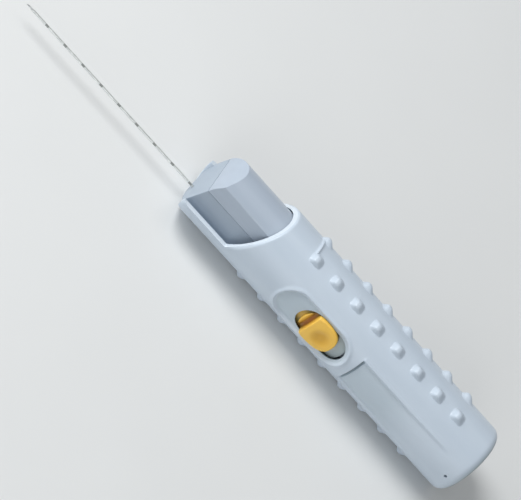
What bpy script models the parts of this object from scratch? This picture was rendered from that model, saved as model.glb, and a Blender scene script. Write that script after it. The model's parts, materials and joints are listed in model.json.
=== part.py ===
"""Core biopsy instrument, a disposable rotary-cocked sampling device.

A needle of two parts, an outer cannula and an inner stylet, runs through a core that turns
inside a tubular housing. Turning the housing draws the cannula carriage back, then the
stylet carriage, against two springs. The amber trigger slides rearward and lets both go.

Lengths are metres. The instrument lies along X, with the needle towards -X. Stations along the
axis are counted from the housing's front edge, and angles round it are counted from straight
up (+Z) towards +Y.
"""

import math

import bmesh
import bpy
from mathutils import Vector

MM = 0.001

# Housing
BODY_LENGTH = 151.0 * MM
BARREL_RADIUS = 16.0 * MM
REAR_RADIUS = 15.8 * MM
WALL = 1.8 * MM
REAR_WALL = 2.4 * MM
REAR_FILLET = 3.5 * MM
NOSE_LENGTH = 3.5 * MM
NOSE_EDGE = 0.55 * MM
BOSS_WALL = 2.1 * MM
BOSS_LENGTH = 3.4 * MM

# Open cut at the front: a slanted rim above two straight hood edges
CUT_ANGLE = math.radians(11.0)
RIM_STATION = 25.4 * MM
FACE_SLOPE = 0.46
HOOD_DEPTH = 5.7 * MM
CHIN_SETBACK = 2.4 * MM
CHIN_HEIGHT = 6.0 * MM
RIM_CORNER = 1.6 * MM

# Grip bumps
BUMP_ROWS = (-6.0, 42.0, 156.0, -156.0)
BUMP_START = 50.0 * MM
BUMP_PITCH = 11.6 * MM
BUMP_COUNT = 8
BUMP_LENGTH = 6.0 * MM
BUMP_SPAN = math.radians(19.0)
BUMP_HEIGHT = 1.8 * MM
RIDGE_STATION = 47.6 * MM
RIDGE_WIDTH = 1.3 * MM
RIDGE_HEIGHT = 0.55 * MM

# Trigger, its slot and the dished recess round it
TRIGGER_ANGLE = math.radians(-81.0)
SLOT_FRONT = 60.2 * MM
SLOT_LENGTH = 24.0 * MM
SLOT_WIDTH = 13.0 * MM
DISH_FRONT = 50.1 * MM
DISH_REAR = 85.8 * MM
DISH_WIDTH = 15.8 * MM
DISH_DEPTH = 1.05 * MM
TRIGGER_LENGTH = 17.8 * MM
TRIGGER_SIDE_GAP = 0.45 * MM
TRIGGER_CORNER = 4.6 * MM
TRIGGER_STEP = 2.1 * MM
TRIGGER_FRONT_GAP = 1.3 * MM
TRIGGER_TRAVEL = 4.0 * MM
TRIGGER_LIP = 1.7 * MM
TRIGGER_PLATE = 1.15 * MM
TRIGGER_SPRING_RADIUS = 0.85 * MM

# Label panel and the small hole near the rear
PANEL_FRONT = 91.0 * MM
PANEL_REAR = 140.6 * MM
PANEL_LOW = math.radians(-31.0)
PANEL_HIGH = math.radians(26.0)
PANEL_DEPTH = 0.75 * MM
HOLE_STATION = 145.2 * MM
HOLE_RADIUS = 0.65 * MM

# Cam sleeve
SLEEVE_GAP = 0.3 * MM
SLEEVE_WALL = 0.8 * MM
RIB_HEIGHT = 0.7 * MM
RIB_WIDTH = 2.0 * MM

# Core
CORE_GAP = 0.5 * MM
CORE_WALL = 1.5 * MM
CORE_FRONT_LENGTH = 35.0 * MM
CORE_FACE = 2.2 * MM
CORE_LIP = 0.3 * MM
CORE_FRONT_WALL = 2.4 * MM
FLAT_DEPTH = 2.7 * MM
FLAT_STEP = 0.4 * MM
FLAT_WALL = 1.4 * MM
SPLIT_HEIGHT = 2.5 * MM
SEAM = 0.3 * MM
END_CAP_LENGTH = 3.3 * MM
STUB_RADIUS = 3.0 * MM
RUNNING_FIT = 0.06 * MM
CLIP_THICKNESS = 0.8 * MM

# Needle
NEEDLE_DROP = 9.3 * MM
NEEDLE_REACH = 92.0 * MM
CANNULA_RADIUS = 0.45 * MM
CANNULA_BORE = 0.33 * MM
STYLET_RADIUS = 0.26 * MM
STYLET_LEAD = 2.4 * MM
NOTCH_LENGTH = 17.0 * MM
NOTCH_SETBACK = 7.0 * MM
STROKE = 22.0 * MM

# Carriages and their springs
CANNULA_STATION = 30.0 * MM
STYLET_STATION = 66.0 * MM
CARRIAGE_LENGTH = 12.0 * MM
CARRIAGE_CLEARANCE = 0.3 * MM
CARRIAGE_TOP = -3.4 * MM
LUG_HALF_HEIGHT = 1.15 * MM
LUG_LENGTH = 3.0 * MM
SPRING_SIDE = 4.7 * MM
SPRING_HEIGHT = 1.0 * MM
SPRING_RADIUS = 3.1 * MM
SPRING_WIRE = 0.4 * MM
SPRING_TURNS = 11
POST_RADIUS = 2.3 * MM
LATCH_HEIGHT = 5.2 * MM
LATCH_THICKNESS = 1.3 * MM
LATCH_WIDTH = 4.0 * MM
DOWEL_RADIUS = 0.5 * MM

FIT = 0.3 * MM
ROUND = 72
PAST = 2.0 * MM

# Sizes that follow from those above
bore = BARREL_RADIUS - WALL
sleeve_outer = bore - SLEEVE_GAP
sleeve_inner = sleeve_outer - SLEEVE_WALL
rib_inner = sleeve_inner - RIB_HEIGHT
core_front_radius = bore - CORE_GAP
core_radius = rib_inner - CORE_GAP
cavity_radius = core_radius - CORE_WALL
cover_flat = core_front_radius - FLAT_DEPTH
body_flat = cover_flat - FLAT_STEP
cavity_flat = body_flat - FLAT_WALL
inner_rear = BODY_LENGTH - REAR_WALL
boss_front = inner_rear - BOSS_LENGTH
cap_rear = boss_front - 2 * FIT
cap_front = cap_rear - END_CAP_LENGTH
core_rear = cap_front - FIT
clip_front = cap_front + 1.1 * MM
sleeve_front = CORE_FRONT_LENGTH + 0.4 * MM
sleeve_rear = clip_front - FIT
trigger_front = SLOT_FRONT + TRIGGER_FRONT_GAP
trigger_rear = trigger_front + TRIGGER_LENGTH
trigger_width = SLOT_WIDTH - 2 * TRIGGER_SIDE_GAP
cannula_tip = -NEEDLE_REACH + STYLET_LEAD
cannula_seat = STYLET_STATION + CARRIAGE_LENGTH + STROKE + 2.0 * MM
centre_station = (BODY_LENGTH - NEEDLE_REACH) / 2


def barrel_radius(station):
    return BARREL_RADIUS + (REAR_RADIUS - BARREL_RADIUS) * station / BODY_LENGTH


def clear_scene():
    for thing in list(bpy.data.objects):
        bpy.data.objects.remove(thing)


def frame(name, parent=None, turn=0.0):
    """An empty whose local Z points at the angle `turn` round the axis."""
    empty = bpy.data.objects.new(name, None)
    bpy.context.scene.collection.objects.link(empty)
    empty.parent = parent
    empty.rotation_euler.x = -turn
    return empty


def material(name, colour, roughness, metallic=0.0):
    made = bpy.data.materials.new(name)
    made.use_nodes = True
    surface = made.node_tree.nodes["Principled BSDF"]
    surface.inputs["Base Color"].default_value = (*colour, 1.0)
    surface.inputs["Roughness"].default_value = roughness
    surface.inputs["Metallic"].default_value = metallic
    made.diffuse_color = (*colour, 1.0)
    return made


def finished(name, bm, parent, finish=None):
    bmesh.ops.recalc_face_normals(bm, faces=bm.faces)
    mesh = bpy.data.meshes.new(name)
    bm.to_mesh(mesh)
    bm.free()
    mesh.shade_smooth()
    mesh.set_sharp_from_angle(angle=math.radians(30))
    made = bpy.data.objects.new(name, mesh)
    bpy.context.scene.collection.objects.link(made)
    made.parent = parent
    if finish:
        mesh.materials.append(finish)
    else:
        made.hide_render = True
        made.display_type = "WIRE"
    return made


def loft(name, rings, parent, finish=None, closed=False):
    """Rings of equally many points, joined in order. A closed loft meets its own start."""
    bm = bmesh.new()
    loops = [[bm.verts.new(point) for point in ring] for ring in rings]
    pairs = list(zip(loops, loops[1:]))
    if closed:
        pairs.append((loops[-1], loops[0]))
    for first, second in pairs:
        count = len(first)
        for i in range(count):
            j = (i + 1) % count
            bm.faces.new((first[i], first[j], second[j], second[i]))
    if not closed:
        bm.faces.new(loops[0])
        bm.faces.new(loops[-1])
    return finished(name, bm, parent, finish)


def lathe(name, profile, parent, finish=None, closed=False, segments=ROUND, centre=(0.0, 0.0)):
    """A turned piece: (station, radius) points swept about a line along X through `centre`."""
    rings = []
    for station, radius in profile:
        ring = []
        for i in range(segments):
            angle = math.tau * (i + 0.5) / segments
            ring.append(
                (station, centre[0] + radius * math.sin(angle), centre[1] + radius * math.cos(angle))
            )
        rings.append(ring)
    return loft(name, rings, parent, finish, closed)


def prism(name, outline, low, high, parent, finish=None, along="x"):
    """An outline pushed from `low` to `high`, along X, across Y or up Z."""
    place = {
        "x": lambda u, v, w: (w, u, v),
        "y": lambda u, v, w: (u, w, v),
        "z": lambda u, v, w: (u, v, w),
    }[along]
    rings = [[place(u, v, level) for u, v in outline] for level in (low, high)]
    return loft(name, rings, parent, finish)


def box(name, low, high, parent, finish=None):
    outline = [(low[0], low[1]), (high[0], low[1]), (high[0], high[1]), (low[0], high[1])]
    return prism(name, outline, low[2], high[2], parent, finish, along="z")


def arc(centre, radius, start, end, steps):
    """Points on an arc, as (u, v), from angle `start` to `end`."""
    points = []
    for i in range(steps + 1):
        angle = start + (end - start) * i / steps
        points.append((centre[0] + radius * math.cos(angle), centre[1] + radius * math.sin(angle)))
    return points


def oblong(start, length, width, steps=8):
    """A slot outline with half-round ends, lying along X."""
    end_radius = width / 2
    front = (start + end_radius, 0.0)
    rear = (start + length - end_radius, 0.0)
    quarter = math.pi / 2
    return arc(front, end_radius, quarter, 3 * quarter, steps) + arc(
        rear, end_radius, -quarter, quarter, steps
    )


def polar_block(name, stations, angles, inner, outer, parent, finish=None):
    """A block bounded by two surfaces round the axis, each a radius at (station, angle)."""
    bm = bmesh.new()

    def sheet(radius):
        rows = []
        for station in stations:
            row = []
            for angle in angles:
                r = radius(station, angle)
                row.append(bm.verts.new((station, r * math.sin(angle), r * math.cos(angle))))
            rows.append(row)
        return rows

    low, high = sheet(inner), sheet(outer)
    for rows in (low, high):
        for i in range(len(stations) - 1):
            for j in range(len(angles) - 1):
                bm.faces.new((rows[i][j], rows[i + 1][j], rows[i + 1][j + 1], rows[i][j + 1]))

    def edge(rows):
        return (
            rows[0][:-1]
            + [row[-1] for row in rows[:-1]]
            + rows[-1][:0:-1]
            + [row[0] for row in rows[:0:-1]]
        )

    around_low, around_high = edge(low), edge(high)
    for i in range(len(around_low)):
        j = (i + 1) % len(around_low)
        bm.faces.new((around_low[i], around_low[j], around_high[j], around_high[i]))
    return finished(name, bm, parent, finish)


def spread(low, high, steps):
    return [low + (high - low) * i / steps for i in range(steps + 1)]


def combine(target, tool, operation):
    modifier = target.modifiers.new(tool.name, "BOOLEAN")
    modifier.operation = operation
    modifier.object = tool
    return target


def cut(target, tool):
    return combine(target, tool, "DIFFERENCE")


def join(target, tool):
    return combine(target, tool, "UNION")


def coil(name, start, end, radius, wire, turns, parent, finish, centre, per_turn=9, sides=5):
    """A compression spring along X."""
    rings = []
    steps = turns * per_turn
    for i in range(steps + 1):
        share = i / steps
        angle = math.tau * turns * share
        station = start + wire + (end - start - 2 * wire) * share
        outward = Vector((0.0, math.sin(angle), math.cos(angle)))
        middle = Vector((station, centre[0], centre[1])) + radius * outward
        ring = []
        for k in range(sides):
            turn = math.tau * k / sides
            ring.append(middle + wire * (math.cos(turn) * outward + math.sin(turn) * Vector((1, 0, 0))))
        rings.append(ring)
    return loft(name, rings, parent, finish)


def bump_surface(centre_station, centre_angle):
    """Radius of one grip bump: a rounded wave along the axis, stepped at its two ends."""

    def radius(station, angle):
        along = (station - centre_station) / (BUMP_LENGTH / 2)
        across = (angle - centre_angle) / (BUMP_SPAN / 2)
        wave = math.cos(along * math.pi / 2) ** 1.5 if abs(along) < 0.999 else 0.0
        end = 1.0 - 0.45 * max(0.0, abs(across) - 0.55) / 0.45
        base = barrel_radius(station) - 0.08 * MM
        return base + (BUMP_HEIGHT + 0.08 * MM) * wave * end

    return radius


def bump_places():
    for row in BUMP_ROWS:
        first = -1 if row == BUMP_ROWS[-1] else 0
        for k in range(first, BUMP_COUNT):
            yield BUMP_START + k * BUMP_PITCH, math.radians(row)


def lowest_reach():
    """How far below the axis the housing reaches, on the bumps of its two lowest rows."""
    reach = BARREL_RADIUS
    for station, angle in bump_places():
        surface = bump_surface(station, angle)
        for turn in spread(-0.5, 0.5, 4):
            at = angle + turn * BUMP_SPAN
            reach = max(reach, -surface(station, at) * math.cos(at))
    return reach


def build_housing(parent, finish):
    nose = arc((NOSE_LENGTH, 0.0), 1.0, math.pi, math.pi / 2, 5)
    depth = BARREL_RADIUS - bore - NOSE_EDGE
    profile = [
        (inner_rear, STUB_RADIUS + RUNNING_FIT),
        (boss_front, STUB_RADIUS + RUNNING_FIT),
        (boss_front, STUB_RADIUS + BOSS_WALL),
        (inner_rear, STUB_RADIUS + BOSS_WALL),
        (inner_rear, bore),
        (0.0, bore),
    ]
    for u, v in nose:
        station = NOSE_LENGTH + (u - NOSE_LENGTH) * NOSE_LENGTH
        profile.append((station, bore + NOSE_EDGE + v * depth))
    profile += arc(
        (BODY_LENGTH - REAR_FILLET, REAR_RADIUS - REAR_FILLET), REAR_FILLET, math.pi / 2, 0.0, 6
    )
    housing = lathe("outer_housing", profile, parent, finish)

    tools = []
    for i, (station, angle) in enumerate(bump_places()):
        stations = spread(station - BUMP_LENGTH / 2, station + BUMP_LENGTH / 2, 6)
        angles = [angle + share * BUMP_SPAN / 2 for share in (-1.0, -0.55, 0.0, 0.55, 1.0)]
        tools.append(
            polar_block(
                f"bump_{i}",
                stations,
                angles,
                lambda a, t: BARREL_RADIUS - WALL / 2,
                bump_surface(station, angle),
                parent,
            )
        )
    join(housing, merged_tool("grip_bumps", tools, parent))
    join(housing, grip_ridge(parent))

    cut(housing, front_cut(frame("cut_frame", parent, CUT_ANGLE)))
    trigger_frame = frame("slot_frame", parent, TRIGGER_ANGLE)
    cut(housing, dish_tool(trigger_frame))
    slot = prism(
        "slot", oblong(SLOT_FRONT, SLOT_LENGTH, SLOT_WIDTH), 0.4 * bore, bore * 1.5, trigger_frame,
        along="z",
    )
    cut(housing, slot)
    cut(housing, panel_tool(trigger_frame))
    hole = prism(
        "indicator_hole",
        arc((HOLE_STATION, 0.0), HOLE_RADIUS, 0.0, math.tau * 15 / 16, 15),
        0.5 * bore,
        bore * 1.5,
        trigger_frame,
        along="z",
    )
    cut(housing, hole)
    return housing


def grip_ridge(parent):
    """A thin rib that joins the first bumps of the two upper rows."""

    def top(station, angle):
        crest = abs(station - RIDGE_STATION) < 0.1 * RIDGE_WIDTH
        return barrel_radius(station) + (RIDGE_HEIGHT if crest else 0.1 * MM)

    return polar_block(
        "grip_ridge",
        spread(RIDGE_STATION - RIDGE_WIDTH / 2, RIDGE_STATION + RIDGE_WIDTH / 2, 2),
        spread(
            math.radians(BUMP_ROWS[0]) - 0.4 * BUMP_SPAN,
            math.radians(BUMP_ROWS[1]) + 0.4 * BUMP_SPAN,
            12,
        ),
        lambda a, t: BARREL_RADIUS - WALL / 2,
        top,
        parent,
    )


def merged_tool(name, tools, parent):
    """Separate closed shells gathered in one hidden tool."""
    bm = bmesh.new()
    for tool in tools:
        bm.from_mesh(tool.data)
        bpy.data.objects.remove(tool)
    return finished(name, bm, parent)


def front_cut(parent):
    """The open cut seen from the side: straight hood edges, a filleted corner, a slanted rim."""
    top = 2 * BARREL_RADIUS
    corner = RIM_STATION - FACE_SLOPE * HOOD_DEPTH
    lean = math.atan2(1.0, FACE_SLOPE)
    centre = (corner - RIM_CORNER * math.tan(lean / 2), -HOOD_DEPTH + RIM_CORNER)
    fillet = arc(centre, RIM_CORNER, -math.pi / 2, lean - math.pi / 2, 5)
    outline = [(-PAST, -HOOD_DEPTH)] + fillet + [(RIM_STATION + FACE_SLOPE * top, top), (-PAST, top)]
    tool = prism("front_opening", outline, -top, top, parent, along="y")
    chin = [(-PAST, -top), (CHIN_SETBACK, -top)]
    for share in spread(1.0, 0.1, 7):
        setback = CHIN_SETBACK * (1.0 - math.sqrt(1.0 - share**2))
        chin.append((setback, -BARREL_RADIUS + CHIN_HEIGHT * (1.0 - share)))
    chin.append((-PAST, -BARREL_RADIUS + CHIN_HEIGHT))
    return merged_tool(
        "front_cuts", [tool, prism("chin", chin, -top, top, parent, along="y")], parent
    )


def dish_tool(parent):
    """The oblong recess round the trigger, dished towards the slot."""
    outline = oblong(DISH_FRONT, DISH_REAR - DISH_FRONT, DISH_WIDTH, 12)
    middle = (DISH_FRONT + DISH_REAR) / 2
    levels = (
        (1.0, 4.0 * MM),
        (1.0, 0.0),
        (0.965, -0.45 * DISH_DEPTH),
        (0.91, -0.8 * DISH_DEPTH),
        (0.8, -DISH_DEPTH),
        (0.55, -DISH_DEPTH),
        (0.3, -DISH_DEPTH),
        (0.05, -DISH_DEPTH),
    )
    rings = []
    for share, rise in levels:
        ring = []
        for station, side in outline:
            angle = share * side / BARREL_RADIUS
            at = middle + share * (station - middle)
            r = barrel_radius(at) + rise
            ring.append((at, r * math.sin(angle), r * math.cos(angle)))
        rings.append(ring)
    return loft("trigger_dish", rings, parent)


def panel_tool(parent):
    """The shallow label recess, deepest at its front wall and fading to the rear."""

    def floor(station, angle):
        fade = (PANEL_REAR - station) / (PANEL_REAR - PANEL_FRONT)
        return barrel_radius(station) - PANEL_DEPTH * min(1.0, 1.6 * fade) + 0.03 * MM

    return polar_block(
        "label_recess",
        spread(PANEL_FRONT, PANEL_REAR, 6),
        spread(PANEL_LOW, PANEL_HIGH, 11),
        floor,
        lambda a, t: BARREL_RADIUS + PAST,
        parent,
    )


def build_sleeve(parent, finish):
    profile = [
        (sleeve_front, sleeve_inner),
        (sleeve_front, sleeve_outer),
        (sleeve_rear, sleeve_outer),
        (sleeve_rear, sleeve_inner),
    ]
    sleeve = lathe("cam_sleeve", profile, parent, finish, closed=True, segments=48)
    lug_front = CARRIAGE_LENGTH - LUG_LENGTH - 1.0 * MM
    ribs = (
        ("cannula_cam", CANNULA_STATION + lug_front, -92.0, 79.0),
        ("stylet_cam", STYLET_STATION + lug_front, 66.0, 158.0),
    )
    for name, start, first, last in ribs:
        join(sleeve, cam_rib(name, start, math.radians(first), math.radians(last), parent))
    lip = math.asin((trigger_width / 2 + TRIGGER_LIP) / bore) + math.radians(4.0)
    window = polar_block(
        "sleeve_window",
        [SLOT_FRONT - 2.2 * MM, trigger_spring_end()],
        spread(-lip, lip, 8),
        lambda a, t: core_radius,
        lambda a, t: bore + PAST,
        frame("window_frame", parent, TRIGGER_ANGLE),
    )
    return cut(sleeve, window)


def trigger_spring_end():
    return trigger_rear + 12.0 * MM


def cam_rib(name, start, first, last, parent):
    """A helical rib whose rear face carries a follower back through the whole stroke."""
    rings = []
    steps = max(6, round(math.degrees(last - first) / 6))
    for share in spread(0.0, 1.0, steps):
        angle = first + (last - first) * share
        station = start - RIB_WIDTH + STROKE * share
        ring = []
        for at, r in (
            (station, rib_inner),
            (station + RIB_WIDTH, rib_inner),
            (station + RIB_WIDTH, sleeve_inner + SLEEVE_WALL / 2),
            (station, sleeve_inner + SLEEVE_WALL / 2),
        ):
            ring.append((at, r * math.sin(angle), r * math.cos(angle)))
        rings.append(ring)
    return loft(name, rings, parent)


def half_outline(radius, flat, level, upper):
    """(side, height) points of a flatted round cut at `level`: the upper or the lower piece."""
    flat_height = math.sqrt(max(0.0, radius**2 - flat**2))
    sign = 1.0 if upper else -1.0
    start = math.atan2(max(flat_height, abs(level)) if not upper else max(flat_height, level), flat)
    if flat >= radius:
        start = math.asin(level / radius) * sign
    points = arc((0.0, 0.0), radius, start, math.pi - start, 24)
    points = [(side, sign * height) for side, height in points]
    width = min(flat, math.sqrt(max(0.0, radius**2 - level**2)))
    corners = [(-width, level), (width, level)]
    if flat >= radius:
        return points[1:-1] + corners
    return points + corners


def flatted(radius, flat, steps=12):
    """(side, height) points of a full round with a flat on each side."""
    start = math.asin(math.sqrt(max(0.0, radius**2 - flat**2)) / radius) if flat < radius else 0.0
    top = arc((0.0, 0.0), radius, start, math.pi - start, steps)
    bottom = arc((0.0, 0.0), radius, math.pi + start, math.tau - start, steps)
    if start == 0.0:
        return top[:-1] + bottom[:-1]
    return top + bottom


def face_cut(name, setback, parent):
    """What lies in front of the slanted face, or of the wall behind it."""
    reach = 2 * BARREL_RADIUS
    outline = [
        (-reach, -reach),
        (CORE_FACE - FACE_SLOPE * reach + setback, -reach),
        (CORE_FACE + FACE_SLOPE * reach + setback, reach),
        (-reach, reach),
    ]
    return prism(name, outline, -reach, reach, parent, along="y")


def core_half(name, upper, parent, finish):
    """One half of the core: flatted and slanted in front, round behind its shoulder."""
    level = SPLIT_HEIGHT + (SEAM / 2 if upper else -SEAM / 2)
    front = half_outline(core_front_radius, cover_flat if upper else body_flat, level, upper)
    rear = half_outline(core_radius, core_radius * 2, level, upper)
    body = prism(name, front, CORE_LIP, CORE_FRONT_LENGTH, parent, finish)
    join(body, prism(f"{name}_tail", rear, CORE_FRONT_LENGTH - 1.0 * MM, core_rear, parent))
    return cut(body, face_cut(f"{name}_face", 0.0, parent))


def build_core(parent, finish, cover_finish):
    body = core_half("core_body", False, parent, finish)
    cover = core_half("core_cover", True, parent, cover_finish)
    hollow = flatted(cavity_radius, cavity_flat)
    cavity = prism("core_cavity", hollow, CORE_LIP + CORE_FRONT_WALL, core_rear + PAST, parent)
    cut(cavity, face_cut("cavity_face", CORE_FRONT_WALL, parent))
    cut(body, cavity)
    cut(cover, cavity)

    seat_outline = [
        (-cavity_flat - 0.4 * MM, -6.0 * MM),
        (-0.8 * MM, -6.0 * MM),
        (-0.8 * MM, SPLIT_HEIGHT - SEAM / 2),
        (-cavity_flat - 0.4 * MM, SPLIT_HEIGHT - SEAM / 2),
    ]
    join(body, prism("spring_wall", seat_outline, cannula_seat, cannula_seat + 2.0 * MM, parent))

    needle_hole = lathe(
        "needle_hole",
        [(-PAST, CANNULA_RADIUS + 0.25 * MM), (CORE_FRONT_WALL + PAST, CANNULA_RADIUS + 0.25 * MM)],
        parent,
        segments=16,
        centre=(0.0, -NEEDLE_DROP),
    )
    cut(body, needle_hole)
    for name, station in (("cannula_slot", CANNULA_STATION), ("stylet_slot", STYLET_STATION)):
        start = station + CARRIAGE_LENGTH - LUG_LENGTH - 1.0 * MM - 0.5 * MM
        slot = box(
            name,
            (start, -core_front_radius, lug_height() - LUG_HALF_HEIGHT - 0.3 * MM),
            (
                start + LUG_LENGTH + STROKE + 1.0 * MM,
                -cavity_flat + 1.0 * MM,
                lug_height() + LUG_HALF_HEIGHT + 0.3 * MM,
            ),
            parent,
        )
        cut(body, slot)
    for name, station in (
        ("cannula_latch_window", cannula_hook() + STROKE),
        ("stylet_latch_window", stylet_hook() + STROKE),
    ):
        side = -3.5 * MM if "cannula" in name else 3.5 * MM
        window = box(
            name,
            (station - 1.0 * MM, side - LATCH_WIDTH / 2 - 0.5 * MM, 6.0 * MM),
            (station + 5.0 * MM, side + LATCH_WIDTH / 2 + 0.5 * MM, bore),
            parent,
        )
        cut(cover, window)
    for hole in dowels("dowel_hole", DOWEL_RADIUS + 0.08 * MM, 0.3 * MM, parent):
        cut(body, hole)
        cut(cover, hole)
    return body, cover


def lug_height():
    return CARRIAGE_TOP - LUG_HALF_HEIGHT


def cannula_hook():
    return CANNULA_STATION + 15.0 * MM


def stylet_hook():
    return STYLET_STATION - 12.0 * MM


def dowels(name, radius, extra, parent, finish=None):
    """Locating pins that stand across the seam between the two halves of the core."""
    made = []
    side = (cavity_flat + math.sqrt(core_radius**2 - (SPLIT_HEIGHT + 1.8 * MM) ** 2)) / 2
    for station in (44.0 * MM, 112.0 * MM):
        for sign in (-1.0, 1.0):
            outline = arc((station, sign * side), radius, 0.0, math.tau * 11 / 12, 11)
            made.append(
                prism(
                    f"{name}_{len(made) + 1}",
                    outline,
                    SPLIT_HEIGHT - 3.0 * MM - extra,
                    SPLIT_HEIGHT + 1.6 * MM + extra,
                    parent,
                    finish,
                    along="z",
                )
            )
    return made


def build_end_cap(parent, finish):
    groove = core_radius - 1.2 * MM
    profile = [
        (cap_front, core_radius),
        (clip_front - 0.1 * MM, core_radius),
        (clip_front - 0.1 * MM, groove),
        (clip_front + CLIP_THICKNESS + 0.1 * MM, groove),
        (clip_front + CLIP_THICKNESS + 0.1 * MM, core_radius),
        (cap_rear, core_radius),
        (cap_rear, STUB_RADIUS),
        (inner_rear - 2 * FIT, STUB_RADIUS),
    ]
    cap = lathe("core_end_cap", profile, parent, finish, segments=48)
    plug = flatted(cavity_radius - FIT, cavity_flat - FIT)
    return join(cap, prism("cap_plug", plug, cap_front - 3.5 * MM, cap_front + 0.5 * MM, parent))


def build_clip(parent, finish):
    """A C-shaped spring clip in the end cap's groove, behind the cam sleeve."""
    inner = core_radius - 1.1 * MM
    outer = sleeve_inner + 0.35 * MM
    half_gap = math.radians(24.0)
    return polar_block(
        "retaining_clip",
        [clip_front, clip_front + CLIP_THICKNESS],
        spread(half_gap, math.tau - half_gap, 32),
        lambda a, t: inner,
        lambda a, t: outer,
        parent,
        finish,
    )


def build_washer(parent, finish):
    """A three-wave friction washer round the end cap's stub."""
    rings = []
    inner, outer = STUB_RADIUS + 0.25 * MM, STUB_RADIUS + BOSS_WALL
    middle = (cap_rear + boss_front) / 2
    for i in range(36):
        angle = math.tau * i / 36
        at = middle + 0.07 * MM * math.cos(3 * angle)
        ring = []
        for station, r in ((at - 0.1 * MM, inner), (at + 0.1 * MM, inner), (at + 0.1 * MM, outer), (at - 0.1 * MM, outer)):
            ring.append((station, r * math.sin(angle), r * math.cos(angle)))
        rings.append(ring)
    return loft("friction_washer", rings, parent, finish, closed=True)


def carriage(name, start, side, latch, parent, finish):
    """A moulded carriage: needle block, follower lug, spring post and latch arm."""
    clear = CARRIAGE_CLEARANCE
    end = start + CARRIAGE_LENGTH
    radius = cavity_radius - clear
    flat = cavity_flat - clear
    turn = math.asin(-CARRIAGE_TOP / radius)
    saddle = [(s, max(-radius, d)) for s, d in arc((0.0, 0.0), radius, math.pi + turn, math.tau - turn, 14)]
    saddle = [(max(-flat, min(flat, s)), d) for s, d in saddle]
    block = prism(name, saddle, start, end, parent, finish)

    lug_end = end - 1.0 * MM
    reach = math.sqrt((rib_inner - FIT) ** 2 - (abs(lug_height()) + LUG_HALF_HEIGHT) ** 2)
    join(
        block,
        box(
            f"{name}_lug",
            (lug_end - LUG_LENGTH, -reach, lug_height() - LUG_HALF_HEIGHT),
            (lug_end, -flat + 1.0 * MM, lug_height() + LUG_HALF_HEIGHT - 0.05 * MM),
            parent,
        ),
    )
    low, high = sorted((side * 0.8 * MM, side * (flat - 0.2 * MM)))
    post_start = start + 5.0 * MM
    web = [
        (low, CARRIAGE_TOP - 1.0 * MM),
        (high, CARRIAGE_TOP - 1.0 * MM),
        (high, SPRING_HEIGHT + 2.5 * MM),
        (side * (SPRING_SIDE - 1.2 * MM) + LATCH_WIDTH / 2, LATCH_HEIGHT + LATCH_THICKNESS),
        (side * (SPRING_SIDE - 1.2 * MM) - LATCH_WIDTH / 2, LATCH_HEIGHT + LATCH_THICKNESS),
        (low, SPRING_HEIGHT + 2.5 * MM),
    ]
    join(block, prism(f"{name}_web", web, start + 0.5 * MM, post_start, parent))
    join(
        block,
        lathe(
            f"{name}_post",
            [
                (start + 2.0 * MM, POST_RADIUS),
                (end - 0.6 * MM, POST_RADIUS),
                (end, POST_RADIUS - 0.6 * MM),
            ],
            parent,
            segments=20,
            centre=(side * SPRING_SIDE, SPRING_HEIGHT),
        ),
    )
    middle = side * (SPRING_SIDE - 1.2 * MM)
    top = math.sqrt(radius**2 - (abs(middle) + LATCH_WIDTH / 2) ** 2) - 0.1 * MM
    arm_low = LATCH_HEIGHT
    arm_high = LATCH_HEIGHT + LATCH_THICKNESS
    hook, inner_end = latch
    outline = [
        (inner_end, arm_low),
        (hook + 4.0 * MM, arm_low) if hook > start else (hook, arm_low),
        (hook + 4.0 * MM, arm_high) if hook > start else (hook, arm_high),
        (hook + 3.6 * MM, top) if hook > start else (hook + 2.6 * MM, top),
        (hook + 2.6 * MM, top) if hook > start else (hook + 3.6 * MM, top),
        (hook, arm_high) if hook > start else (hook + 4.0 * MM, arm_high),
        (inner_end, arm_high),
    ]
    join(
        block,
        prism(
            f"{name}_latch",
            outline,
            middle - LATCH_WIDTH / 2 + 0.05 * MM,
            middle + LATCH_WIDTH / 2 - 0.05 * MM,
            parent,
            along="y",
        ),
    )
    return block


def build_carriages(parent, finish, steel):
    cannula_block = carriage(
        "cannula_carriage",
        CANNULA_STATION,
        -1.0,
        (cannula_hook(), CANNULA_STATION + 1.0 * MM),
        parent,
        finish,
    )
    stylet_block = carriage(
        "stylet_carriage",
        STYLET_STATION,
        1.0,
        (stylet_hook(), STYLET_STATION + 4.0 * MM),
        parent,
        finish,
    )
    cut(cannula_block, needle_bore("cannula_hub_bore", CANNULA_STATION, CANNULA_RADIUS, parent))
    cut(stylet_block, needle_bore("stylet_hub_bore", STYLET_STATION, STYLET_RADIUS, parent))
    build_needle(parent, steel)


def needle_bore(name, station, radius, parent):
    profile = [
        (station - PAST, radius + 0.1 * MM),
        (station + CARRIAGE_LENGTH + PAST, radius + 0.1 * MM),
    ]
    return lathe(name, profile, parent, segments=16, centre=(0.0, -NEEDLE_DROP))


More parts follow.
